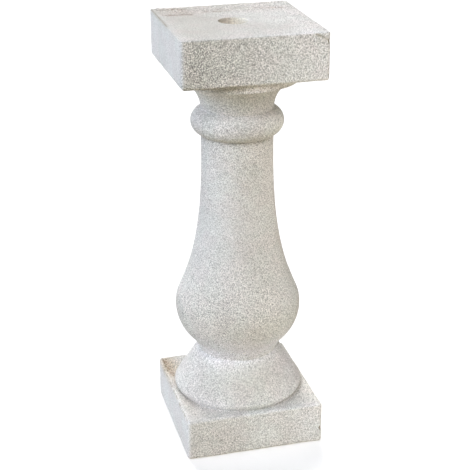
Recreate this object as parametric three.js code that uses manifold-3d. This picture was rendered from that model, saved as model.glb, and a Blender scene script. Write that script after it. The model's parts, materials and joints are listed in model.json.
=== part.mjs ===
// A cast-stone baluster for a balustrade: a square plinth, a turned body and a square cap, all cast
// as one piece, with a dowel socket cored into the bed of the cap.
// Millimetres, +Z up. The origin is the middle of the underside, and the front is towards -Y.
import * as THREE from "three";
import { mergeVertices } from "three/addons/utils/BufferGeometryUtils.js";
import Module from "manifold-3d";

const wasm = await Module();
wasm.setup();

// Whole piece
const HEIGHT = 560;

// Plinth, the square block at the foot
const PLINTH_WIDTH = 184;
const PLINTH_HEIGHT = 57;
const PLINTH_CORNER = 4; // radius of its upright corners
const PLINTH_EDGE = 3.5; // radius of its upper and lower edges

// Bell, the moulding that stands on the plinth and draws in to the waist
const BELL_LEDGE = 5.6; // how far its widest place stays inside the plinth's sides
const BELL_RADIUS = PLINTH_WIDTH / 2 - BELL_LEDGE;
const BELL_HEIGHT = 58;
const BELL_FOOT = 7; // height of its widest place above the plinth
const BELL_TUCK = 4.5; // how far it draws in again from there down to the plinth
const BELL_SHOULDER = 4; // radius of the shoulder above its widest place
const BELL_TOP_RADIUS = 57; // where its straight side ends, a little below the waist
const BELL_TOP_DROP = 3.5; // how far below the waist that is
const WAIST_RADIUS = 52.5; // in the crease between the bell and the belly

// Belly, the widest part of the turned body
const BELLY_RADIUS = 83;
const BELLY_RISE = 65; // from the waist up to the widest place
const BELLY_FOOT_SLOPE = 0.3; // radius gained for each millimetre of height, just above the waist
const BELLY_UNDER_RADIUS = 62; // roundness below the widest place
const BELLY_UNDER_TURN = 44; // degrees that this round goes on for
const BELLY_OVER_RADIUS = 48; // roundness above the widest place
const BELLY_OVER_TURN = 22; // degrees that this round goes on for
const BELLY_FLANK = 22; // straight stretch above it

// Neck and bead. The long sweep of the shaft takes up the height that the other parts leave.
const NECK_RADIUS = 46.3;
const NECK_LENGTH = 24; // plain stretch under the bead
const BEAD_RADIUS = 59.5;
const BEAD_HEIGHT = 33;

// Cap, the square block on top. Its upper edges are sharp, because the mould was struck off there.
const CAP_WIDTH = 181;
const CAP_HEIGHT = 60;
const CAP_CORNER = 4.5; // radius of its upright corners
const CAP_EDGE = 4; // radius of its lower edges

// Cove and lip that carry the cap
const COVE_HEIGHT = 38.5;
const COVE_ARC_RADIUS = 46;
const LIP_HEIGHT = 12;
const LIP_STEP = 7.5; // how far the lip stands out past the top of the cove
const LIP_OVERHANG = 12; // how far the cap stands out past the lip
const LIP_RADIUS = CAP_WIDTH / 2 - LIP_OVERHANG;
const COVE_TOP_RADIUS = LIP_RADIUS - LIP_STEP;

// Dowel socket in the cap, a little off the centre
const SOCKET_DIAMETER = 36;
const SOCKET_DEPTH = 90;
const SOCKET_OFFSET_X = -5;
const SOCKET_OFFSET_Y = -2;

// How finely the round parts are divided
const TURNED_SIDES = 60;
const SOCKET_SIDES = 40;
const ARC_STEP = 9; // degrees of an arc for each step of the turned outline
const SHAFT_STEPS = 12;
const CREASE_STEPS = 5;
const CORNER_STEPS = 4;
const EDGE_STEPS = 3;
const MERGE_DISTANCE = 1e-3;

// The blocks and the turned body are fused, so the turned body runs this far into each block.
const FUSE_DEPTH = 8;
const CUT_MARGIN = 20; // how far a cutting tool stands out past what it cuts

const stone = new THREE.MeshStandardMaterial({ color: 0xcfcbc4, roughness: 0.92, metalness: 0 });

// Solids

function toSolid(geometry) {
  geometry.deleteAttribute("normal");
  geometry.deleteAttribute("uv");
  const merged = mergeVertices(geometry, MERGE_DISTANCE);
  const triVerts = [];
  for (let i = 0; i < merged.index.count; i += 3) {
    const [a, b, c] = [0, 1, 2].map((k) => merged.index.getX(i + k));
    if (a !== b && b !== c && c !== a) triVerts.push(a, b, c);
  }
  const vertProperties = merged.attributes.position.array;
  return new wasm.Manifold(
    new wasm.Mesh({ numProp: 3, vertProperties, triVerts: new Uint32Array(triVerts) }),
  );
}

function toGeometry(solid) {
  const { vertProperties, triVerts } = solid.getMesh();
  const geometry = new THREE.BufferGeometry();
  geometry.setAttribute("position", new THREE.BufferAttribute(vertProperties, 3));
  geometry.setIndex(new THREE.BufferAttribute(triVerts, 1));
  const faceted = geometry.toNonIndexed();
  faceted.computeVertexNormals();
  return faceted;
}

// Square blocks

function roundedSquare(width, corner) {
  const half = width / 2;
  const shape = new THREE.Shape();
  shape.absarc(half - corner, half - corner, corner, 0, Math.PI / 2);
  shape.absarc(corner - half, half - corner, corner, Math.PI / 2, Math.PI);
  shape.absarc(corner - half, corner - half, corner, Math.PI, (3 * Math.PI) / 2);
  shape.absarc(half - corner, corner - half, corner, (3 * Math.PI) / 2, 2 * Math.PI);
  shape.closePath();
  return shape;
}

// A block that stands from bottom to top, with its upper and lower edges rounded.
function block(width, corner, edge, bottom, top) {
  const geometry = new THREE.ExtrudeGeometry(roundedSquare(width, corner), {
    depth: top - bottom - 2 * edge,
    curveSegments: CORNER_STEPS,
    bevelThickness: edge,
    bevelSize: edge,
    bevelOffset: -edge,
    bevelSegments: EDGE_STEPS,
  });
  geometry.translate(0, 0, bottom + edge);
  return toSolid(geometry);
}

// A block whose upper edges stay sharp: it is made too tall and struck off flat.
function struckBlock(width, corner, edge, bottom, top) {
  const tall = block(width, corner, edge, bottom, top + 2 * edge);
  const side = width + 2 * CUT_MARGIN;
  const waste = new THREE.BoxGeometry(side, side, 2 * edge + CUT_MARGIN);
  waste.translate(0, 0, top + edge + CUT_MARGIN / 2);
  return tall.subtract(toSolid(waste));
}

// Outline of the turned body, as points of radius and height

// Points of an arc from one angle to another, in degrees from straight out, without its first point.
function arc(centre, radius, from, to) {
  const steps = Math.max(2, Math.ceil(Math.abs(to - from) / ARC_STEP));
  const points = [];
  for (let i = 1; i <= steps; i++) {
    const angle = THREE.MathUtils.degToRad(from + ((to - from) * i) / steps);
    points.push(
      new THREE.Vector2(
        centre.x + radius * Math.cos(angle),
        centre.y + radius * Math.sin(angle),
      ),
    );
  }
  return points;
}

// Points of the arc of a given radius between two points, without the first. It bows outwards where
// bow is 1 and inwards where bow is -1.
function arcBetween(start, end, radius, bow) {
  const half = end.clone().sub(start).multiplyScalar(0.5);
  const inward = new THREE.Vector2(-half.y, half.x).normalize();
  const height = Math.sqrt(Math.max(0, radius ** 2 - half.lengthSq()));
  const centre = start.clone().add(half).addScaledVector(inward, bow * height);
  const angleOf = (point) =>
    THREE.MathUtils.radToDeg(Math.atan2(point.y - centre.y, bow * (point.x - centre.x)));
  const from = angleOf(start);
  const to = angleOf(end);
  return arc(new THREE.Vector2(0, 0), radius, from, to).map(
    (point) => new THREE.Vector2(centre.x + bow * point.x, centre.y + point.y),
  );
}

// Points of a sweep that leaves start in one direction and meets end in another, without the first.
function sweep(start, startSlope, end, endSlope, steps) {
  // Slopes are radius gained for each millimetre of height.
  const level =
    (end.x - start.x + startSlope * start.y - endSlope * end.y) / (startSlope - endSlope);
  const corner = new THREE.Vector2(start.x + startSlope * (level - start.y), level);
  return new THREE.QuadraticBezierCurve(start, corner, end).getPoints(steps).slice(1);
}

// The angle, in degrees, at which a straight line from a point above an arc touches its outer side.
function touchAngle(centre, radius, point) {
  const reach = point.clone().sub(centre);
  const swing = Math.acos(Math.min(1, radius / reach.length()));
  return THREE.MathUtils.radToDeg(reach.angle() - swing);
}

function bell(foot) {
  const contact = new THREE.Vector2(BELL_RADIUS - BELL_TUCK, foot);
  const widest = new THREE.Vector2(BELL_RADIUS, foot + BELL_FOOT);
  const rollRadius = (BELL_FOOT ** 2 + BELL_TUCK ** 2) / (2 * BELL_TUCK);
  const shoulder = new THREE.Vector2(BELL_RADIUS - BELL_SHOULDER, widest.y);
  const top = new THREE.Vector2(BELL_TOP_RADIUS, foot + BELL_HEIGHT - BELL_TOP_DROP);
  return [
    contact,
    ...arcBetween(contact, widest, rollRadius, 1),
    ...arc(shoulder, BELL_SHOULDER, 0, touchAngle(shoulder, BELL_SHOULDER, top)),
    top,
    new THREE.Vector2(WAIST_RADIUS, foot + BELL_HEIGHT),
  ];
}

function belly(waist) {
  const widest = waist.y + BELLY_RISE;
  const under = new THREE.Vector2(BELLY_RADIUS - BELLY_UNDER_RADIUS, widest);
  const over = new THREE.Vector2(BELLY_RADIUS - BELLY_OVER_RADIUS, widest);
  const [underEnd] = arc(under, BELLY_UNDER_RADIUS, 0, -BELLY_UNDER_TURN).slice(-1);
  const underSlope = Math.tan(THREE.MathUtils.degToRad(BELLY_UNDER_TURN));
  return [
    ...sweep(waist, BELLY_FOOT_SLOPE, underEnd, underSlope, CREASE_STEPS),
    ...arc(under, BELLY_UNDER_RADIUS, -BELLY_UNDER_TURN, 0),
    ...arc(over, BELLY_OVER_RADIUS, 0, BELLY_OVER_TURN),
  ];
}

function shaft(start, neckFoot, neckTop) {
  const slope = -Math.tan(THREE.MathUtils.degToRad(BELLY_OVER_TURN));
  const flankEnd = new THREE.Vector2(start.x + slope * BELLY_FLANK, start.y + BELLY_FLANK);
  const neck = new THREE.Vector2(NECK_RADIUS, neckFoot);
  return [
    flankEnd,
    ...sweep(flankEnd, slope, neck, 0, SHAFT_STEPS),
    new THREE.Vector2(NECK_RADIUS, neckTop),
  ];
}

function bead(foot) {
  const top = foot.clone();
  top.y += BEAD_HEIGHT;
  const proud = BEAD_RADIUS - NECK_RADIUS;
  const radius = ((BEAD_HEIGHT / 2) ** 2 + proud ** 2) / (2 * proud);
  return arcBetween(foot, top, radius, 1);
}

function cove(foot) {
  const top = new THREE.Vector2(COVE_TOP_RADIUS, foot.y + COVE_HEIGHT);
  return arcBetween(foot, top, COVE_ARC_RADIUS, -1);
}

function turnedOutline() {
  const capFoot = HEIGHT - CAP_HEIGHT;
  const lipFoot = capFoot - LIP_HEIGHT;
  const beadFoot = lipFoot - COVE_HEIGHT - BEAD_HEIGHT;
  const points = bell(PLINTH_HEIGHT);
  points.push(...belly(points.at(-1)));
  points.push(...shaft(points.at(-1), beadFoot - NECK_LENGTH, beadFoot));
  points.push(...bead(points.at(-1)));
  points.push(...cove(points.at(-1)));
  return [
    new THREE.Vector2(0, PLINTH_HEIGHT - FUSE_DEPTH),
    new THREE.Vector2(points[0].x, PLINTH_HEIGHT - FUSE_DEPTH),
    ...points,
    new THREE.Vector2(LIP_RADIUS, lipFoot),
    new THREE.Vector2(LIP_RADIUS, capFoot + FUSE_DEPTH),
    new THREE.Vector2(0, capFoot + FUSE_DEPTH),
  ];
}

function turnedBody() {
  const geometry = new THREE.LatheGeometry(turnedOutline(), TURNED_SIDES);
  geometry.rotateX(Math.PI / 2);
  return toSolid(geometry);
}

function socket() {
  const radius = SOCKET_DIAMETER / 2;
  const length = SOCKET_DEPTH + CUT_MARGIN;
  const geometry = new THREE.CylinderGeometry(radius, radius, length, SOCKET_SIDES);
  geometry.rotateX(Math.PI / 2);
  geometry.translate(SOCKET_OFFSET_X, SOCKET_OFFSET_Y, HEIGHT - SOCKET_DEPTH + length / 2);
  return toSolid(geometry);
}

function makeBaluster() {
  const plinth = block(PLINTH_WIDTH, PLINTH_CORNER, PLINTH_EDGE, 0, PLINTH_HEIGHT);
  const cap = struckBlock(CAP_WIDTH, CAP_CORNER, CAP_EDGE, HEIGHT - CAP_HEIGHT, HEIGHT);
  const solid = plinth.add(turnedBody()).add(cap).subtract(socket());
  const mesh = new THREE.Mesh(toGeometry(solid), stone);
  mesh.name = "baluster";
  return mesh;
}

const baluster = new THREE.Group();
baluster.add(makeBaluster());

export default baluster;
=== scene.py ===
import json
import math

import bmesh
import bpy
import numpy as np
from mathutils import Matrix, Vector, noise


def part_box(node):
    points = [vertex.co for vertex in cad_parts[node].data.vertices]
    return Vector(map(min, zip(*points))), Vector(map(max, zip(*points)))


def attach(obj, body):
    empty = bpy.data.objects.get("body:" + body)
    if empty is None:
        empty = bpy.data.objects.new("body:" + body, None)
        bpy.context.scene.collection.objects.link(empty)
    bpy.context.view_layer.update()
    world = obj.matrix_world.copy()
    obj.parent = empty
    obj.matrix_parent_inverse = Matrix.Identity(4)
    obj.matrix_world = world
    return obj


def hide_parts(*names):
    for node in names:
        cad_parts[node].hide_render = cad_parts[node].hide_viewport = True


# A cast-stone baluster, in metres, with +Z up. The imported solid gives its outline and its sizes, and
# this script gives it worn arrises, the marks of casting, small chips and a fine-grained stone.
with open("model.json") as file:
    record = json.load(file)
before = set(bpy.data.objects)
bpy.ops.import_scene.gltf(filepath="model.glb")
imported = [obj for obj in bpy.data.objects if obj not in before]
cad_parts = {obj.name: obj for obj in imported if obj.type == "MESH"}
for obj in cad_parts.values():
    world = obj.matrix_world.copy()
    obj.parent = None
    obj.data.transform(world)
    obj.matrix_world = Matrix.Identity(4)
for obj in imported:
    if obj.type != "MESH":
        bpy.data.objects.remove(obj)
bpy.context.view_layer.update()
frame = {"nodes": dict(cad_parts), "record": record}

MM = 0.001

# Block edges: radii of the upright corners and of the level edges
PLINTH_CORNER = 4 * MM
PLINTH_EDGE = 3.5 * MM
CAP_CORNER = 3 * MM
CAP_EDGE = 4 * MM
CAP_ARRIS = 1.2 * MM
SOCKET_LIP = 1.5 * MM
EDGE_WEAR = 0.4  # share by which wear changes the radius of an edge
EDGE_WEAR_SCALE = 18 * MM
EDGE_WEAR_REACH = 90 * MM  # distance from the axis at which the wear is drawn

# Fineness of the skin
AROUND = 256
CORNER_CROWDING = 0.2  # how much closer the points stand near the corners of the blocks
RING_STEP = 4 * MM
SIDE_STEP = 3.3 * MM
TOP_STEP = 3.4 * MM
HIDDEN_STEP = 8 * MM
LEDGE_STEP = 5.1 * MM  # on the plinth's top, round the turned body
EDGE_RINGS = 4
LEAST_CORNER = 0.3 * MM
UNDERSIDE_SHARES = (0.1, 0.4, 0.7, 0.9)  # rings of the underside, in shares of its width
SOCKET_FLOOR_SHARES = (0.6, 0.2)
SOCKET_SEEN = 20 * MM  # how deep the socket's wall is divided finely
CREASE_GAP = 0.5 * MM
CREASE_GAP_SHARE = 0.4  # a stretch gets a ring beside its crease only where the gap is a smaller share of it
CREASE_TURN = 25  # degrees; a sharper turn of the outline is a crease
LEVEL_DIGITS = 5
SAME_RADIUS = 0.3 * MM
# How near to a mark the edges are halved, and the length that an edge has to pass, for each round
REFINEMENTS = ((2.6 * MM, 1.8 * MM), (0.6 * MM, 1.15 * MM))

# Unevenness of the cast skin: its depth and the size of its waves
UNEVENNESS = ((0.22 * MM, 34 * MM), (0.10 * MM, 11 * MM), (0.08 * MM, 5.5 * MM))
TOP_SINK = 0.45 * MM  # how far the trowelled top lies below the fins and crumbs that stand on it

# Chips: place, the way the break faces, radius and depth, in millimetres
CHIPS = (
    ((-92, 8, 57), (-1, 0, 0.8), 5, 1.6),
    ((-92, -72, 57), (-1, 0, 0.8), 5.5, 1.5),
    ((-92, -38, 57), (-1, 0.1, 0.9), 4, 1.1),
    ((-92, 52, 57), (-1, 0, 0.9), 6, 1.5),
    ((84, -92, 57), (0.2, -1, 0.9), 4.5, 1.6),
    ((58, -92, 57), (0, -1, 0.9), 3.5, 0.9),
    ((-55, -92, 0), (0, -1, -0.7), 5, 1.6),
    ((-20, -92, 0), (0, -1, -0.6), 4, 1.2),
    ((92, 30, 57), (1, 0, 0.9), 6, 1.8),
    ((90, -90, 20), (1, -1, 0), 5, 1.5),
    ((89, -89, 548), (1, -1, 0.2), 4.5, 1.6),
    ((79, -90.5, 560), (0, -1, 0.9), 3.4, 1.2),
    ((30, -90.5, 560), (0, -1, 0.9), 3, 0.8),
    ((-28, -90.5, 560), (0, -1, 0.9), 3, 0.8),
    ((-90.5, -20, 560), (-1, 0, 0.9), 3.5, 1.0),
    ((90.5, 15, 560), (1, 0, 0.9), 5, 1.5),
    ((40, 90.5, 560), (0, 1, 0.9), 6, 1.6),
    ((-35, 90.5, 560), (0, 1, 0.9), 7, 1.5),
    ((-58, -90.5, 500), (0, -1, -0.8), 4, 1.2),
    ((48, -90.5, 500), (0, -1, -0.8), 3.5, 1.0),
    ((-90.5, 40, 500), (-1, 0, -0.8), 4, 1.2),
    ((90.5, -20, 500), (1, 0, -0.8), 5, 1.4),
)

# Air holes left in the casting
PIT_SEED = 11
PIT_COUNT = 90
PIT_RADIUS = (0.9 * MM, 1.7 * MM)
PIT_DEPTH = 0.9  # in radii

# The surface of a break: the size of its roughness in radii, and its height in depths
BREAK_SCALE = 0.6
BREAK_ROUGHNESS = 0.3

# The broken fin along the left edge of the top, where the mould's joint ran: its ends in millimetres
FIN = ((-88.9, 87, 560), (-88.9, -40, 560))
FIN_GROOVE = 0.9 * MM

# Crumbs that stand on the back edge of the top: place and radius in millimetres
CRUMBS = (
    ((80, 87.5, 559.4), 3.0),
    ((-81, 88.5, 559.3), 2.2),
    ((34, 88.5, 559.3), 1.8),
    ((-40, 88.5, 559.2), 1.6),
)

# Dark lines, partly dirty streaks and partly painted shade: the painted shadow beside the fin on the top's
# left edge, the painted shade on the rounded right upright edges and along the cap's lower front edge. Ends
# in millimetres, half width in millimetres, strength, and how broken they are
SHADOW_AND_DIRT_LINES = (
    # Painted shadow of the fin along the top's left edge
    ((-89.9, 84, 559.8), (-89.9, -12, 559.8), 1.2, 1.0, 0.15),
    ((-89.9, -12, 559.8), (-89.9, -80, 559.8), 1.0, 0.5, 0.5),
    ((-91.5, 70, 56), (-91.5, -88, 56), 1.5, 0.9, 0.85),
    ((-76, 91, 56.5), (-30, 91, 56.5), 1.8, 0.9, 0.4),
    ((-88, 86, 56.8), (-88, 50, 56.8), 1.6, 0.9, 0.6),
    # Painted shade on the cap's and the plinth's right upright edges
    ((90.3, -88.2, 503), (90.3, -88.2, 558), 1.7, 1.0, 0.15),
    ((91.7, -88.9, 3), (91.7, -88.9, 54), 1.7, 1.0, 0.15),
    ((72, -90.1, 558.5), (86, -90.1, 551), 1.5, 0.9, 0.4),
    # Painted shade along the cap's lower front edge
    ((-88, -89.5, 501), (-20, -89.5, 501), 1.6, 0.6, 0.2),
    ((-20, -89.5, 501), (60, -89.5, 501), 1.4, 0.25, 0.3),
    ((-78, 78.5, 559.5), (-50, 75.5, 559.5), 1.3, 1.0, 0.9),
    ((-77, 46, 559.5), (-58, 43, 559.5), 1.4, 0.9, 0.9),
)

# Rows of brown crumbs on the top, as the dark lines are given
CRUMB_LINES = (
    ((-78, 78.5, 559.5), (-48, 75, 559.5), 2.9, 1.0, 0.6),
    ((-77, 47, 559.5), (-48, 42, 559.5), 3.2, 1.0, 0.5),
    ((-24, 56, 559.5), (3, 51, 559.5), 3.0, 0.8, 0.8),
    ((47, 56, 559.5), (73, 52, 559.5), 3.0, 0.8, 0.8),
    ((-20, 66, 559.5), (40, 62, 559.5), 2.4, 0.55, 0.9),
    ((-86, 80, 57), (-84, 35, 57), 3.5, 0.8, 0.7),
)
LINE_BREAKS = 3 * MM  # size of the gaps in a broken line
LINE_BREAK_NOISE = (-0.15, 0.1)  # noise at which a gap starts, and at which it is fully open
LINE_REACH = 2.5  # in half widths

# The rough strip along the back of the top: how rough it is across the width, from 0 to 1
STRIP_ACROSS = (-88, -83, -50, -42, -30, -4, 6, 62, 72)
STRIP_ROUGH = (0, 1, 1, 0.5, 0.8, 0.7, 0.35, 0.45, 0)
STRIP_FRONT = 44 * MM
STRIP_DEPTH = 1.3 * MM
STRIP_GRAIN = 3.2 * MM
STRIP_SHARES = (0.25, 0.5, 0.55)  # of its depth: even all over, in coarse lumps and in crumbs
STRIP_CRUMBS = 0.35  # how brown its crumbs are
STRIP_WANDER = 5 * MM
STRIP_WANDER_SCALE = 14 * MM
STRIP_EDGE = 4 * MM  # width over which it fades out in front
TOP_WAVE = 0.25 * MM
TOP_WAVE_SCALE = 30 * MM

# Broad patches painted into the colour: mostly painted light and shade, with a few stains on the top's back
# strip.
# Place and reach in millimetres, then red, green, blue and how plainly the sand shows, each as a share of
# what it is elsewhere
PAINTED_LIGHT_AND_STAINS = (
    # Front faces of the cap and of the plinth: painted shade at the left end, painted light towards the
    # right
    ((-85, -90, 530), (62, 8, 60), (0.84, 0.84, 0.84, 1.7)),
    ((0, -90, 530), (40, 8, 60), (1.05, 1.065, 1.08, 1.1)),
    ((85, -90, 530), (60, 8, 60), (1.17, 1.18, 1.22, 1.1)),
    ((0, -90, 28), (35, 8, 40), (1.07, 1.09, 1.11, 1)),
    ((75, -90, 28), (30, 8, 40), (1.03, 1.05, 1.08, 1)),
    ((-85, -90, 28), (35, 8, 40), (0.96, 0.95, 0.96, 1)),
    # Left faces: painted cool light, with less sand showing
    ((-90.5, 0, 530), (6, 200, 60), (1.10, 1.13, 1.17, 0.4)),
    ((-92, 0, 28), (6, 200, 60), (1.15, 1.17, 1.20, 0.5)),
    # Top: painted shade to the left and painted light to the right; a stain and rougher sand on the back
    # strip
    ((-55, -10, 560), (48, 100, 6), (0.91, 0.90, 0.88, 0.35)),
    ((20, -20, 560), (36, 60, 6), (0.98, 0.98, 0.975, 0.6)),
    ((75, -30, 560), (35, 90, 6), (1.11, 1.11, 1.12, 1.2)),
    ((25, 70, 560), (50, 30, 6), (0.99, 0.98, 0.97, 2.0)),
    ((-62, 68, 560), (26, 26, 6), (0.97, 0.94, 0.92, 2.0)),
    # Plinth's top: painted shadow behind and left of the body, painted light in front and to the right
    ((-84, 66, 57), (16, 45, 8), (0.80, 0.70, 0.58, 1.5)),
    ((-80, -30, 57), (16, 50, 8), (0.91, 0.89, 0.86, 1)),
    ((10, -88, 57), (40, 8, 8), (1.03, 1.05, 1.05, 1)),
    ((85, -60, 57), (18, 60, 8), (1.10, 1.09, 1.07, 1)),
    # Lip under the cap: painted shadow of the cap on its left, painted light on its middle and right
    ((-55, -50, 494), (40, 45, 5), (0.79, 0.74, 0.68, 1)),
    ((5, -78, 494), (30, 40, 6), (1.42, 1.41, 1.45, 1)),
    ((60, -50, 494), (30, 40, 8), (1.29, 1.28, 1.27, 1)),
    # Turned body: painted shade in the cove, on the left and at the front, painted light on the right, and
    # painted bounce light under the belly
    ((0, -60, 433), (22, 20, 16), (0.89, 0.89, 0.90, 1)),
    ((58, -15, 433), (20, 40, 18), (1.28, 1.28, 1.31, 1)),
    ((-45, -15, 420), (30, 60, 60), (0.92, 0.93, 0.94, 1)),
    ((50, -20, 400), (22, 60, 70), (1.32, 1.32, 1.33, 1)),
    ((-40, -20, 300), (30, 60, 70), (0.95, 0.96, 0.97, 0.7)),
    ((0, -50, 300), (25, 30, 80), (0.95, 0.95, 0.955, 0.75)),
    ((52, -15, 290), (22, 60, 70), (1.18, 1.16, 1.17, 0.75)),
    ((-60, -40, 190), (50, 60, 45), (0.90, 0.89, 0.86, 1.1)),
    ((20, -80, 190), (45, 40, 45), (0.94, 0.935, 0.91, 1.1)),
    ((0, -60, 136), (90, 50, 21), (1.29, 1.32, 1.46, 1)),
    ((-10, -75, 92), (60, 50, 22), (0.94, 0.94, 0.91, 0.75)),
    ((-65, -20, 85), (35, 50, 25), (0.92, 0.92, 0.91, 1)),
    ((65, -30, 92), (30, 40, 22), (1.09, 1.07, 1.12, 1)),
)
# The socket's wall, given as a stain is, on its two sides: warmer, with painted shade on the left side and
# painted light on the right, and the width over which one turns to the other
SOCKET_LEFT_TINT_AND_SHADE = (0.95, 0.90, 0.82, 0.5)
SOCKET_RIGHT_TINT_AND_LIGHT = (1.25, 1.20, 1.10, 0.5)
SOCKET_TURN = 10 * MM

# Painted shade in the creases, where shade falls: strength and reach, and how much stronger it is towards
# the right
OVERHANG_SHADE = (0.7, 2.2 * MM)
OVERHANG_STEEPNESS = 0.7  # outward share of the outline's direction
FOOT_SHADE = (0.12, 2.0 * MM)
FOOT_SHADE_RIGHT = 0.85
HEAD_SHADE = (0.75, 3.2 * MM)
HEAD_SHADE_RIGHT = -0.35
RIGHT_SIDE = (20 * MM, 90 * MM)
SHADE_PATCHES = 20 * MM


# Reading the solid

class Sizes:
    """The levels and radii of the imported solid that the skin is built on."""

    def __init__(self, node):
        points = np.zeros(len(node.data.vertices) * 3)
        node.data.vertices.foreach_get("co", points)
        self.points = points.reshape(-1, 3)
        low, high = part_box(node.name)
        self.foot, self.top = low.z, high.z
        rising = flat_levels(node, 1)
        self.plinth_top, self.socket_floor = rising[0], rising[1]
        self.cap_foot = flat_levels(node, -1)[-1]
        self.plinth_half = self.points[self.points[:, 2] < self.plinth_top, 0].max()
        self.cap_half = self.points[self.points[:, 2] > self.cap_foot, 0].max()
        opening = frame["record"]["physics"]["openings"][0]["box_m"]
        self.socket_centre = np.mean(opening, axis=0)[:2]
        from_socket = np.linalg.norm(self.points[:, :2] - self.socket_centre, axis=1)
        on_floor = np.abs(self.points[:, 2] - self.socket_floor) < SAME_RADIUS
        self.socket_radius = from_socket[on_floor].max()
        self.outline = smooth_outline(self.turned_outline())

    def turned_outline(self):
        """Radius and height of each ring of the turned body, from its foot on the plinth to the cap."""
        radii = np.hypot(self.points[:, 0], self.points[:, 1])
        levels = np.round(self.points[:, 2], LEVEL_DIGITS)
        beyond_socket = radii > np.linalg.norm(self.socket_centre) + self.socket_radius + SAME_RADIUS
        on_body = beyond_socket & (levels >= self.plinth_top) & (levels <= self.cap_foot)
        outline = []
        for level in np.unique(levels[on_body]):
            here = clusters(radii[on_body & (levels == level)])
            if level in (self.plinth_top, self.cap_foot):
                here = here[:1]
            if outline and abs(here[-1] - outline[-1][0]) < abs(here[0] - outline[-1][0]):
                here = here[::-1]
            outline.extend((radius, level) for radius in here)
        return np.array(outline)


def flat_levels(node, facing):
    """Heights of the level faces of a solid that look up (facing 1) or down (facing -1), lowest first."""
    faces = [face for face in node.data.polygons if face.normal.z * facing > 0.9999]
    return sorted({round(face.center.z, LEVEL_DIGITS) for face in faces})


def clusters(values):
    """Sorted values, one for each group that lies within SAME_RADIUS: the group's largest."""
    values = np.unique(values)
    return values[np.diff(values, append=np.inf) > SAME_RADIUS]


# The turned outline

def is_crease(before, after):
    return before @ after < math.cos(math.radians(CREASE_TURN))


def shared_direction(before, after, length_before, length_after):
    """The outline's direction at a point between two stretches. A long stretch beside a short one is
    straight, and two of like lengths are steps of one arc."""
    if length_before > 3 * length_after:
        return before
    if length_after > 3 * length_before:
        return after
    shared = before * length_after + after * length_before
    return shared / np.linalg.norm(shared)


def turn_directions(points):
    """For each stretch of the outline, its length and its directions at its start and at its end."""
    steps = np.diff(points, axis=0)
    lengths = np.linalg.norm(steps, axis=1)
    along = steps / lengths[:, None]
    starts, ends = along.copy(), along.copy()
    for k in range(1, len(along)):
        if not is_crease(along[k - 1], along[k]):
            shared = shared_direction(along[k - 1], along[k], lengths[k - 1], lengths[k])
            ends[k - 1] = starts[k] = shared
    for k, direction in enumerate(along):
        if np.allclose(starts[k], direction):
            starts[k] = 2 * (direction @ ends[k]) * direction - ends[k]
        elif np.allclose(ends[k], direction):
            ends[k] = 2 * (direction @ starts[k]) * direction - starts[k]
    return lengths, starts, ends


def smooth_outline(points):
    """The outline with its arcs made round again, divided finely, with rings close by each crease."""
    lengths, starts, ends = turn_directions(points)
    fine = [points[0]]
    for k, length in enumerate(lengths):
        count = math.ceil(length / RING_STEP)
        shares = list(np.arange(1, count + 1) / count)
        gap = CREASE_GAP / length
        if gap < CREASE_GAP_SHARE and k > 0 and is_crease(ends[k - 1], starts[k]):
            shares.append(gap)
        if gap < CREASE_GAP_SHARE and k + 1 < len(lengths) and is_crease(ends[k], starts[k + 1]):
            shares.append(1 - gap)
        for t in sorted(shares):
            point = points[k] + (points[k + 1] - points[k]) * (3 * t ** 2 - 2 * t ** 3)
            point = point + starts[k] * length * (t ** 3 - 2 * t ** 2 + t)
            fine.append(point + ends[k] * length * (t ** 3 - t ** 2))
    return np.array(fine)


# Rings of the skin. A ring is AROUND points, one for each of OUTWARD's directions.

def ring_directions():
    """Directions round the axis, from +X, that stand nearly evenly along the sides of a square."""
    share = np.arange(AROUND // 8) / (AROUND // 8)
    rise = np.arctan(share * (1 + CORNER_CROWDING) - CORNER_CROWDING * share ** 2)
    fall = math.pi / 2 - np.append(rise[1:], math.pi / 4)[::-1]
    quarter = np.concatenate([rise, fall])
    angles = np.concatenate([quarter + k * math.pi / 2 for k in range(4)])
    return np.stack([np.cos(angles), np.sin(angles)], axis=1)


OUTWARD = ring_directions()


def square_reach(half, corner):
    """Distance from the axis to a square with rounded corners, along each direction."""
    across = np.abs(OUTWARD).max(axis=1)
    along = np.abs(OUTWARD).min(axis=1)
    flat = half / across
    inset = half - corner
    middle = inset * (across + along)
    rounded = middle + np.sqrt(np.maximum(middle ** 2 - 2 * inset ** 2 + corner ** 2, 0))
    return np.where(flat * along > inset, rounded, flat)


def ring(reach, level, centre=(0.0, 0.0)):
    flat = OUTWARD * np.broadcast_to(reach, AROUND)[:, None] + np.asarray(centre)
    return np.column_stack([flat, np.broadcast_to(level, AROUND)])


def between(first, last, step):
    """Rings spread evenly between two rings, both left out."""
    longest = np.linalg.norm(last - first, axis=1).max()
    count = math.ceil(longest / step)
    return [first + (last - first) * k / count for k in range(1, count)]


def worn(radius, seed):
    """A radius for each direction, near the one given, changed by wear along the edge."""
    spread = EDGE_WEAR_REACH / EDGE_WEAR_SCALE
    wear = [noise.noise(Vector((x * spread, y * spread, seed))) for x, y in OUTWARD]
    return radius * (1 + EDGE_WEAR * np.array(wear))


def edge_rings(half, corner, edge, level, side):
    """Rings over the rounded edge of a block, from its level face to its side. The block stands above
    the face where side is 1, and below it where side is -1."""
    rings = []
    for turn in np.linspace(0, math.pi / 2, EDGE_RINGS + 1):
        inset = edge * (1 - math.sin(turn))
        reach = square_reach(half - inset, np.maximum(corner - inset, LEAST_CORNER))
        rings.append(ring(reach, level + side * edge * (1 - math.cos(turn))))
    return rings


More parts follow.
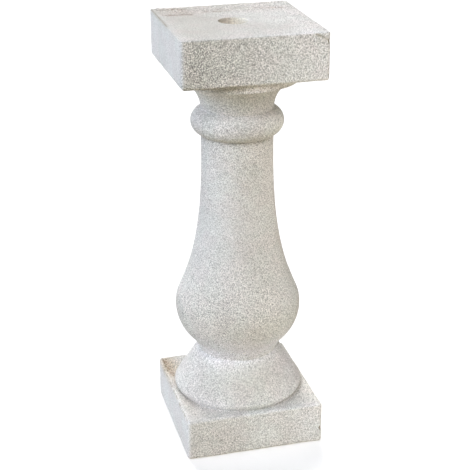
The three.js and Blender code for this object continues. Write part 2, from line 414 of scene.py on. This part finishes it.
def block_rings(half, corner, foot, foot_edge, top, top_edge):
    """Rings up a square block, from the edge of its underside to the edge of its top."""
    lower = edge_rings(half, corner, foot_edge, foot, 1)
    upper = edge_rings(half, corner, top_edge, top, -1)[::-1]
    return [*lower, *between(lower[-1], upper[0], SIDE_STEP), *upper]


def socket_rings(sizes):
    """Rings from the socket's mouth down its wall to its floor."""
    radius, centre = sizes.socket_radius, sizes.socket_centre
    rings = []
    for turn in np.linspace(0, math.pi / 2, EDGE_RINGS):
        spread = radius + SOCKET_LIP * (1 - math.sin(turn))
        rings.append(ring(spread, sizes.top - SOCKET_LIP * (1 - math.cos(turn)), centre))
    foot = ring(radius, sizes.socket_floor, centre)
    floor = [ring(radius * share, sizes.socket_floor, centre) for share in SOCKET_FLOOR_SHARES]
    near_mouth = ring(radius, sizes.top - SOCKET_SEEN, centre)
    wall = [*between(rings[-1], near_mouth, SIDE_STEP), near_mouth]
    return [*rings, *wall, *between(near_mouth, foot, HIDDEN_STEP), foot, *floor]


def skin_rings(sizes):
    """All the rings, from the middle of the underside to the middle of the socket's floor."""
    plinth_edges = sizes.foot, worn(PLINTH_EDGE, 1), sizes.plinth_top, worn(PLINTH_EDGE, 2)
    plinth = block_rings(sizes.plinth_half, PLINTH_CORNER, *plinth_edges)
    cap_edges = sizes.cap_foot, worn(CAP_EDGE, 3), sizes.top, worn(CAP_ARRIS, 4)
    cap = block_rings(sizes.cap_half, CAP_CORNER, *cap_edges)
    underside = square_reach(sizes.plinth_half, PLINTH_CORNER)
    under = [ring(underside * share, sizes.foot) for share in UNDERSIDE_SHARES]
    turned = [ring(radius, level) for radius, level in sizes.outline]
    socket = socket_rings(sizes)
    return [
        *under,
        *plinth,
        *between(plinth[-1], turned[0], LEDGE_STEP),
        *turned,
        *between(turned[-1], cap[0], HIDDEN_STEP),
        *cap,
        *between(cap[-1], socket[0], TOP_STEP),
        *socket,
    ]


def skin_mesh(rings):
    """One closed mesh through the rings, with a point in the middle of the first and last."""
    count = len(rings)
    first, last = count * AROUND, count * AROUND + 1
    points = np.vstack([*rings, rings[0].mean(axis=0), rings[-1].mean(axis=0)])
    here = np.arange(AROUND)
    after = (here + 1) % AROUND
    faces = []
    for foot in range(0, (count - 1) * AROUND, AROUND):
        head = foot + AROUND
        faces.extend(np.stack([foot + here, foot + after, head + after, head + here], 1).tolist())
    faces.extend([first, b, a] for a, b in zip(here.tolist(), after.tolist()))
    top = first - AROUND
    faces.extend([last, top + a, top + b] for a, b in zip(here.tolist(), after.tolist()))
    mesh = bpy.data.meshes.new("baluster_stone")
    mesh.from_pydata(points.tolist(), [], faces)
    return mesh


# Marks of casting and wear, and painted light and shade

def mesh_points(mesh):
    points = np.zeros(len(mesh.vertices) * 3)
    mesh.vertices.foreach_get("co", points)
    return points.reshape(-1, 3)


def mesh_normals(mesh):
    normals = np.zeros(len(mesh.vertices) * 3)
    mesh.vertex_normals.foreach_get("vector", normals)
    return normals.reshape(-1, 3)


def noise_at(points, scale, seed):
    """Soft noise at each point, from about -1 to 1, with waves of about the scale given."""
    return np.array([noise.noise(Vector(point) / scale + Vector((seed, 0, 0))) for point in points])


def ease(value, low, high):
    share = np.clip((value - low) / (high - low), 0, 1)
    return share * share * (3 - 2 * share)


def pit_marks(mesh):
    """Random places on the skin, spread evenly by area, as marks like those of CHIPS."""
    draw = np.random.RandomState(PIT_SEED)
    areas = np.array([face.area for face in mesh.polygons])
    chosen = draw.choice(len(areas), PIT_COUNT, replace=False, p=areas / areas.sum())
    marks = []
    for index in chosen:
        face = mesh.polygons[index]
        radius = draw.uniform(*PIT_RADIUS)
        marks.append((face.center.copy(), face.normal.copy(), radius, radius * PIT_DEPTH))
    return marks


def chip_marks():
    marks = []
    for place, facing, radius, depth in CHIPS:
        marks.append((Vector(place) * MM, Vector(facing).normalized(), radius * MM, depth * MM))
    return marks


def from_segment(points, start, end):
    """Distance of each point from a straight line between two ends."""
    start, end = np.array(start) * MM, np.array(end) * MM
    along = end - start
    share = np.clip((points - start) @ along / (along @ along), 0, 1)
    return np.linalg.norm(points - start - share[:, None] * along, axis=1)


def strip_share(points, sizes):
    """How rough the top is at each point, from 0 to 1."""
    across = np.interp(points[:, 0] / MM, STRIP_ACROSS, STRIP_ROUGH)
    front = STRIP_FRONT + STRIP_WANDER * noise_at(points * (1, 0, 0), STRIP_WANDER_SCALE, 5)
    back = ease(points[:, 1], front, front + STRIP_EDGE)
    return across * back * (points[:, 2] > sizes.top - 2 * MM)


def line_marks(points, lines):
    """How strongly each point is marked by the lines, from 0 to 1. A broken line comes and goes."""
    marked = np.zeros(len(points))
    for start, end, half_width, strength, broken in lines:
        away = from_segment(points, start, end) / (half_width * MM)
        near = np.flatnonzero(away < LINE_REACH)
        breaks = ease(noise_at(points[near], LINE_BREAKS, 41), *LINE_BREAK_NOISE)
        share = np.exp(-away[near] ** 2) * strength * (1 - broken * breaks)
        marked[near] = np.maximum(marked[near], share)
    return marked


def near_marks(points, marks, sizes, reach):
    """Which points lie within reach of a chip, a pit, a line or the rough strip."""
    near = strip_share(points, sizes) > 0
    near |= from_segment(points, *FIN) < FIN_GROOVE + reach
    for start, end, half_width, _, _ in SHADOW_AND_DIRT_LINES + CRUMB_LINES:
        near |= from_segment(points, start, end) < half_width * MM + reach
    for place, _, radius, _ in marks:
        near |= np.linalg.norm(points - np.array(place), axis=1) < radius + reach
    return near


def refine(mesh, marks, sizes):
    """Halves the edges near the marks, twice, so that they can carry fine relief."""
    for reach, longest in REFINEMENTS:
        skin = bmesh.new()
        skin.from_mesh(mesh)
        near = near_marks(np.array([vertex.co for vertex in skin.verts]), marks, sizes, reach)
        edges = [
            edge
            for edge in skin.edges
            if near[edge.verts[0].index] and near[edge.verts[1].index] and edge.calc_length() > longest
        ]
        bmesh.ops.subdivide_edges(skin, edges=edges, cuts=1, use_grid_fill=True)
        skin.to_mesh(mesh)
        skin.free()


def carve(points, mark):
    """Scoops one mark out of the skin, with a broken surface. Returns how deep it goes at each point."""
    place, facing, radius, depth = mark
    facing = np.array(facing)
    away = points - np.array(place)
    height = away @ facing
    across = np.linalg.norm(away - height[:, None] * facing, axis=1)
    near = np.flatnonzero((across < 1.2 * radius) & (np.abs(height) < 3 * radius))
    rough = noise_at(points[near], BREAK_SCALE * radius, 3) * BREAK_ROUGHNESS * depth
    scoop = -depth + 2 * depth * (across[near] / radius) ** 2 + rough
    cut = np.maximum(height[near] - scoop, 0)
    points[near] -= cut[:, None] * facing
    depths = np.zeros(len(points))
    depths[near] = cut
    return depths


def top_relief(points, sizes):
    """Depth of the top face below the block's full height, and how crumbly it is."""
    on_top = ease(points[:, 2], sizes.top - 1.5 * MM, sizes.top - 0.3 * MM)
    rough = strip_share(points, sizes)
    crumbs = noise_at(points, STRIP_GRAIN, 21)
    coarse = noise_at(points, 3 * STRIP_GRAIN, 22)
    even, lumpy, crumbly = STRIP_SHARES
    depth = TOP_SINK + TOP_WAVE * noise_at(points, TOP_WAVE_SCALE, 23)
    depth = depth + rough * STRIP_DEPTH * (even + lumpy * coarse + crumbly * crumbs)
    fin = np.exp(-(from_segment(points, *FIN) / FIN_GROOVE) ** 2)
    for place, radius in CRUMBS:
        away = np.linalg.norm(points - np.array(place) * MM, axis=1) / (radius * MM)
        fin = np.maximum(fin, ease(away, 1, 0.6))
    sunk = on_top * np.clip(depth * (1 - fin), 0, None)
    return sunk, STRIP_CRUMBS * rough * np.clip(0.5 + crumbs, 0, 1)


def weather(mesh, sizes):
    """Carves the marks, roughens the skin, and notes where crumbs, pits and dark lines lie and where shade
    and light are painted into the colour.
    """
    marks = chip_marks() + pit_marks(mesh)
    refine(mesh, marks, sizes)
    points = mesh_points(mesh)
    normals = mesh_normals(mesh)
    ideal = points.copy()
    depth = np.zeros(len(points))
    for seed, (amount, scale) in enumerate(UNEVENNESS):
        depth += amount * (0.5 + 0.5 * noise_at(ideal, scale, seed))
    points -= normals * depth[:, None]
    sunk, crumbly = top_relief(ideal, sizes)
    points[:, 2] -= sunk
    dug = np.zeros(len(points))
    for mark in marks:
        dug = np.maximum(dug, carve(points, mark) / mark[3])
    points[:, 2] = np.maximum(points[:, 2], sizes.foot)
    points[ideal[:, 2] < sizes.foot + 0.1 * MM, 2] = sizes.foot
    mesh.vertices.foreach_set("co", points.ravel())
    # Painted shade in the creases, under the cap and at the foot of the body, with dark lines that are
    # partly dirty streaks and partly painted shadow
    paint(mesh, "shade_and_dirt", np.maximum(shade_and_dirt(ideal, sizes), line_marks(ideal, SHADOW_AND_DIRT_LINES)))
    paint(mesh, "crumb", np.maximum(crumbly, line_marks(ideal, CRUMB_LINES)))
    paint(mesh, "pit", np.clip(dug, 0, 1))
    paint_light_and_stains(mesh, ideal, sizes)
    mesh.update()


def shade_and_dirt(points, sizes):
    """Painted shade, from 0 to 1, where shade falls: under each overhang and round the foot and head of the
    turned body.
    """
    radii = np.hypot(points[:, 0], points[:, 1])
    crease_shade = np.zeros(len(points))
    outline = sizes.outline
    directions = np.diff(outline, axis=0)
    directions /= np.linalg.norm(directions, axis=1)[:, None]
    for k in range(1, len(directions)):
        overhangs = directions[k][0] > OVERHANG_STEEPNESS > directions[k - 1][0]
        if overhangs and is_crease(directions[k - 1], directions[k]):
            away = np.hypot(radii - outline[k][0], points[:, 2] - outline[k][1])
            strength, reach = OVERHANG_SHADE
            crease_shade = np.maximum(crease_shade, strength * np.exp(-away / reach))
    to_right = ease(points[:, 0] - points[:, 1] * 0.5, *RIGHT_SIDE)
    ends = (outline[0], FOOT_SHADE, FOOT_SHADE_RIGHT), (outline[-1], HEAD_SHADE, HEAD_SHADE_RIGHT)
    for (radius, level), (strength, reach), rightwards in ends:
        away = np.hypot(radii - radius, points[:, 2] - level)
        crease_shade = np.maximum(crease_shade, (strength + rightwards * to_right) * np.exp(-away / reach))
    patches = 0.75 + 0.5 * noise_at(points, SHADE_PATCHES, 31)
    return np.clip(crease_shade * patches, 0, 1)


def paint_light_and_stains(mesh, points, sizes):
    """Paints the broad patches, mostly painted light and shade with a few stains, and the socket's wall:
    their colour, and in the fourth channel how plainly the sand shows.
    """
    painted_light_and_stains = np.ones((len(points), 4))
    for place, reach, colour in PAINTED_LIGHT_AND_STAINS:
        away = (points / MM - np.array(place)) / np.array(reach)
        share = np.exp(-(away ** 2).sum(axis=1))
        painted_light_and_stains *= 1 + share[:, None] * (np.array(colour) - 1)
    # The socket's wall: painted shade on its left side, painted light on its right
    from_socket = np.linalg.norm(points[:, :2] - sizes.socket_centre, axis=1)
    in_socket = (from_socket < sizes.socket_radius + SOCKET_LIP) & (points[:, 2] < sizes.top - 0.5 * MM)
    across = ease(points[:, 0], sizes.socket_centre[0] - SOCKET_TURN, sizes.socket_centre[0] + SOCKET_TURN)
    for channel, (left, right) in enumerate(zip(SOCKET_LEFT_TINT_AND_SHADE, SOCKET_RIGHT_TINT_AND_LIGHT)):
        painted_light_and_stains[in_socket, channel] = (left + (right - left) * across)[in_socket]
    attribute = mesh.attributes.new("painted_light_and_stains", "FLOAT_COLOR", "POINT")
    attribute.data.foreach_set("color", painted_light_and_stains.astype(np.float32).ravel())


def paint(mesh, name, values):
    attribute = mesh.attributes.new(name, "FLOAT", "POINT")
    attribute.data.foreach_set("value", values.astype(np.float32))


# Camera, at the photograph's viewing angle

CAMERA_PLACE = (-0.3842, -1.4372, 0.9038)
CAMERA_TURN = -14.845
CAMERA_TILT = 67.056
CAMERA_ROLL = -0.19
CAMERA_LENS = 94.345


def add_camera():
    camera = bpy.data.objects.new("camera", bpy.data.cameras.new("camera"))
    camera.data.lens = CAMERA_LENS
    turn = Matrix.Rotation(math.radians(CAMERA_TURN), 4, "Z")
    tilt = Matrix.Rotation(math.radians(CAMERA_TILT), 4, "X")
    roll = Matrix.Rotation(math.radians(CAMERA_ROLL), 4, "Z")
    camera.matrix_world = Matrix.Translation(CAMERA_PLACE) @ turn @ tilt @ roll
    bpy.context.scene.collection.objects.link(camera)
    bpy.context.scene.camera = camera


# Floor and light

FLOOR_REACH = 30
FLOOR_COLOUR = (0.95, 0.95, 0.95, 1)
FLOOR_GLOW = 0.19
SKY_FADE = (0.40, 0.55)  # where the light from below fades out, from 0 straight down to 1 straight up
GROUND_LIGHT = (0.40, 0.345, 0.21, 1)
# Name, azimuth from +X, height above the horizon, strength and colour of each distant soft box
SOFT_BOXES = (
    ("left_box", 180, 10, 0.66, (0.89, 0.98, 1.15)),
    ("corner_box", 225, 40, 0.25, (0.93, 1.0, 1.14)),
    ("front_box", 270, 40, 0.46, (1.04, 1.0, 0.95)),
    ("back_box", 90, 40, 0.84, (1.02, 1.0, 0.98)),
)
SOFT_BOX_ANGLE = 35
CARD_PLACE = (0.45, -0.4, 0.06)
CARD_SIZE = 0.35
CARD_POWER = 1.8
BODY_MIDDLE = (0, 0, 0.3)


def add_floor():
    mesh = bpy.data.meshes.new("floor")
    sides = (-FLOOR_REACH, FLOOR_REACH)
    corners = [(x, y, 0) for y in sides for x in sides]
    mesh.from_pydata(corners, [], [(0, 1, 3, 2)])
    floor = bpy.data.objects.new("floor", mesh)
    bpy.context.scene.collection.objects.link(floor)
    floor.visible_diffuse = False
    material = bpy.data.materials.new("pale_floor")
    material.use_nodes = True
    shader = material.node_tree.nodes["Principled BSDF"]
    shader.inputs["Base Color"].default_value = FLOOR_COLOUR
    shader.inputs["Roughness"].default_value = 0.9
    shader.inputs["Emission Color"].default_value = (1, 1, 1, 1)
    shader.inputs["Emission Strength"].default_value = FLOOR_GLOW
    mesh.materials.append(material)


def add_world():
    """The light that the ground throws up, fading out at the horizon."""
    world = bpy.data.worlds.new("studio")
    bpy.context.scene.world = world
    world.use_nodes = True
    tree = world.node_tree
    direction = add_node(tree, "ShaderNodeTexCoord").outputs["Generated"]
    height = add_node(tree, "ShaderNodeSeparateXYZ", {"Vector": direction}).outputs["Z"]
    fade = add_node(tree, "ShaderNodeValToRGB", {"Fac": rescale(tree, height, -1, 1, 0, 1)})
    below, above = fade.color_ramp.elements
    below.position, above.position = SKY_FADE
    below.color = GROUND_LIGHT
    above.color = (0, 0, 0, 1)
    tree.links.new(fade.outputs["Color"], tree.nodes["Background"].inputs["Color"])


def add_lamp(name, kind, energy, colour, direction):
    lamp = bpy.data.lights.new(name, kind)
    lamp.energy = energy
    lamp.color = colour
    holder = bpy.data.objects.new(name, lamp)
    holder.rotation_mode = "QUATERNION"
    holder.rotation_quaternion = Vector(direction).to_track_quat("Z", "Y")
    bpy.context.scene.collection.objects.link(holder)
    return holder


def add_light():
    add_world()
    for name, azimuth, elevation, strength, colour in SOFT_BOXES:
        turn, rise = math.radians(azimuth), math.radians(elevation)
        direction = (math.cos(turn) * math.cos(rise), math.sin(turn) * math.cos(rise), math.sin(rise))
        holder = add_lamp(name, "SUN", strength * math.pi, colour, direction)
        holder.data.angle = math.radians(SOFT_BOX_ANGLE)
    card = add_lamp("low_card", "AREA", CARD_POWER, (1, 1, 1), Vector(CARD_PLACE) - Vector(BODY_MIDDLE))
    card.location = CARD_PLACE
    card.data.size = CARD_SIZE
    card.visible_camera = False
    bpy.context.scene.view_settings.view_transform = "Standard"


# Stone

STONE_DARK = (0.635, 0.625, 0.605, 1)
STONE_LIGHT = (0.71, 0.705, 0.69, 1)
ROSE = (1.013, 0.993, 0.99, 1)
GREEN = (0.993, 1.0, 0.99, 1)
TONE_SCALE = 16  # waves in a metre
HUE_SCALE = 38
SAND_TURN = (0.6, 0.9, 0.4)
GRAIN_SIZE = 1.3 * MM
GRAIN_RANGE = (0.30, 0.70)
GRAIN_SHADES = (0.62, 1.36)
SAND_GRAIN = 0.8 * MM
SAND_SHADES = (0.85, 1.15)
DOT_SPACING = 4 * MM
DOT_SIZES = (0.0, 0.27)  # radius of a dark grain, in spacings
DOT_SHADE = 0.55
RELIEF_SCALE = 420
RELIEF_ROUGHNESS = 0.6
RELIEF_HEIGHT = 0.5 * MM
# Colour of the painted shade in the creases and of the dark lines
SHADE_AND_DIRT = (0.46, 0.42, 0.35, 1)
CRUMB = (0.50, 0.40, 0.33, 1)
# Colour of chips and pits, mixed in the more the deeper they are dug
PIT = (0.62, 0.59, 0.54, 1)


def add_node(tree, kind, inputs=(), **settings):
    """A shader node with its settings and inputs. An input is a value, or a socket to link."""
    node = tree.nodes.new(kind)
    for name, value in settings.items():
        setattr(node, name, value)
    for name, value in dict(inputs).items():
        if isinstance(value, bpy.types.NodeSocket):
            tree.links.new(value, node.inputs[name])
        else:
            node.inputs[name].default_value = value
    return node


def rescale(tree, value, low, high, new_low, new_high):
    limits = {"From Min": low, "From Max": high, "To Min": new_low, "To Max": new_high}
    return add_node(tree, "ShaderNodeMapRange", {"Value": value, **limits}).outputs["Result"]


def arithmetic(tree, operation, first, second):
    return add_node(tree, "ShaderNodeMath", {0: first, 1: second}, operation=operation).outputs["Value"]


def blend_colours(tree, kind, share, first, second):
    """Two colours mixed (MIX), or the first multiplied by the second (MULTIPLY), by a share from 0 to 1."""
    node = tree.nodes.new("ShaderNodeMix")
    node.data_type = "RGBA"
    node.blend_type = kind
    for socket, value in ((node.inputs[0], share), (node.inputs[6], first), (node.inputs[7], second)):
        if isinstance(value, bpy.types.NodeSocket):
            tree.links.new(value, socket)
        else:
            socket.default_value = value
    return node.outputs[2]


def noise_texture(tree, place, scale, detail):
    inputs = {"Vector": place, "Scale": scale, "Detail": detail}
    return add_node(tree, "ShaderNodeTexNoise", inputs).outputs["Fac"]


def broad_tone(tree, place):
    """The cast's slow changes of tone and of hue."""
    tone = noise_texture(tree, place, TONE_SCALE, 3)
    stone = blend_colours(tree, "MIX", rescale(tree, tone, 0.35, 0.65, 0, 1), STONE_DARK, STONE_LIGHT)
    hue = noise_texture(tree, place, HUE_SCALE, 1)
    cast = blend_colours(tree, "MIX", rescale(tree, hue, 0.4, 0.6, 0, 1), ROSE, GREEN)
    return blend_colours(tree, "MULTIPLY", 1.0, stone, cast)


def sand_shade(tree, place):
    """How light the sand is at each point: crowded grains and pores, and a few larger dark ones. The
    pattern's own axes are turned, so that no face of the block lies along its lattice."""
    place = add_node(tree, "ShaderNodeMapping", {"Vector": place, "Rotation": SAND_TURN}).outputs["Vector"]
    grains = noise_texture(tree, place, 1 / GRAIN_SIZE, 0)
    fine = add_node(tree, "ShaderNodeTexVoronoi", {"Vector": place, "Scale": 1 / SAND_GRAIN})
    fine_pick = add_node(tree, "ShaderNodeSeparateColor", {"Color": fine.outputs["Color"]}).outputs["Red"]
    dots = add_node(tree, "ShaderNodeTexVoronoi", {"Vector": place, "Scale": 1 / DOT_SPACING})
    dot_pick = add_node(tree, "ShaderNodeSeparateColor", {"Color": dots.outputs["Color"]}).outputs["Red"]
    size = rescale(tree, dot_pick, 0.3, 1, *DOT_SIZES)
    beyond = arithmetic(tree, "SUBTRACT", dots.outputs["Distance"], size)
    shade = rescale(tree, grains, *GRAIN_RANGE, *GRAIN_SHADES)
    shade = arithmetic(tree, "MULTIPLY", shade, rescale(tree, fine_pick, 0, 1, *SAND_SHADES))
    return arithmetic(tree, "MULTIPLY", shade, rescale(tree, beyond, -0.05, 0.05, DOT_SHADE, 1))


def make_stone():
    material = bpy.data.materials.new("cast_stone")
    material.use_nodes = True
    tree = material.node_tree
    shader = tree.nodes["Principled BSDF"]
    place = add_node(tree, "ShaderNodeTexCoord").outputs["Object"]

    # Painted light and shade of the broad patches and of the socket's wall, with a few stains, tints the
    # stone's colour
    painted_light_and_stains = add_node(tree, "ShaderNodeAttribute", attribute_name="painted_light_and_stains")
    sand = sand_shade(tree, place)
    plainness = {0: painted_light_and_stains.outputs["Alpha"], 2: 1.0, 3: sand}
    shown = add_node(tree, "ShaderNodeMix", plainness, data_type="FLOAT", clamp_factor=False).outputs[0]
    colour = blend_colours(tree, "MULTIPLY", 1.0, broad_tone(tree, place), painted_light_and_stains.outputs["Color"])
    colour = add_node(tree, "ShaderNodeVectorMath", {0: colour, "Scale": shown}, operation="SCALE")
    colour = colour.outputs["Vector"]
    # The painted shade and dark lines, the brown crumbs, and the chips and pits each darken the colour by
    # their share
    for name, tint in (("shade_and_dirt", SHADE_AND_DIRT), ("crumb", CRUMB), ("pit", PIT)):
        share = add_node(tree, "ShaderNodeAttribute", attribute_name=name).outputs["Fac"]
        colour = blend_colours(tree, "MULTIPLY", share, colour, tint)
    tree.links.new(colour, shader.inputs["Base Color"])

    waves = {"Vector": place, "Scale": RELIEF_SCALE, "Detail": 1.5, "Roughness": RELIEF_ROUGHNESS}
    relief = add_node(tree, "ShaderNodeTexNoise", waves).outputs["Fac"]
    raised = arithmetic(tree, "MULTIPLY", relief, sand)
    bump = add_node(tree, "ShaderNodeBump", {"Height": raised, "Strength": 1.0, "Distance": RELIEF_HEIGHT})
    tree.links.new(bump.outputs["Normal"], shader.inputs["Normal"])
    shader.inputs["Roughness"].default_value = 0.92
    shader.inputs["Specular IOR Level"].default_value = 0.3
    return material


def add_baluster():
    node = frame["nodes"]["baluster"]
    sizes = Sizes(node)
    mesh = skin_mesh(skin_rings(sizes))
    weather(mesh, sizes)
    mesh.shade_smooth()
    mesh.materials.append(make_stone())
    baluster = bpy.data.objects.new("baluster_stone", mesh)
    bpy.context.scene.collection.objects.link(baluster)
    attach(baluster, "root")
    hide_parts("baluster")
    return baluster


add_camera()
add_floor()
add_light()
add_baluster()
